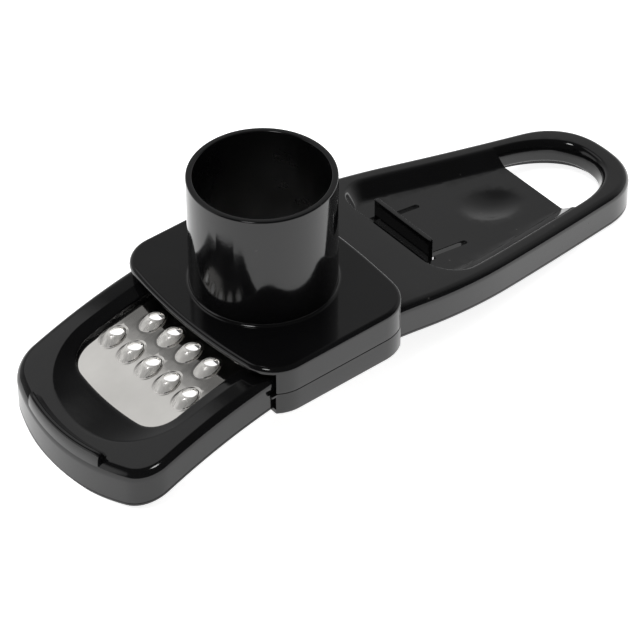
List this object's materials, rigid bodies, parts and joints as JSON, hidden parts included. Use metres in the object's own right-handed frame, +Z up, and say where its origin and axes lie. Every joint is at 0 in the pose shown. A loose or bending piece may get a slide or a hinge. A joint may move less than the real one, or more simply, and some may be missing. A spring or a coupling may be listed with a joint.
{
  "type": "sliding hand grater",
  "caption": "Hand grater: a carriage with a round open hopper slides over an arched tray with a toothed steel blade; handle with thumb recess, stop latch and hanging hole.",
  "frame": {"origin": "on the table, at the middle of the length and of the width", "axes": "+Z up, +X from the tray's front towards the handle's end, +Y across"},
  "size_m": [0.1958, 0.0666, 0.0634],
  "materials": {
    "base_plastic": "glossy black moulded plastic",
    "slider_plastic": "glossy black moulded plastic",
    "blade_steel": "polished stainless sheet"
  },
  "bodies": {
    "base": {"base_frame": "base_plastic", "grater_blade": "blade_steel", "blade_retainer": "base_plastic"},
    "carriage": {"slider_upper_shell": "slider_plastic", "slider_lower_shell": "slider_plastic"},
    "latch": {"stop_latch": "base_plastic"}
  },
  "joints": [
    {"name": "carriage_slide", "type": "hinge", "parent": "base", "child": "carriage", "pos_m": [-0.02724, 0, -0.1411], "axis": [0, 1, 0], "range_deg": [-13.4, 7]},
    {"name": "latch_press", "type": "hinge", "parent": "base", "child": "latch", "pos_m": [0.03391, 0, 0.01217], "axis": [0, -1, 0], "range_deg": [0, 9], "stiffness_Nm_per_rad": 0.6}
  ]
}
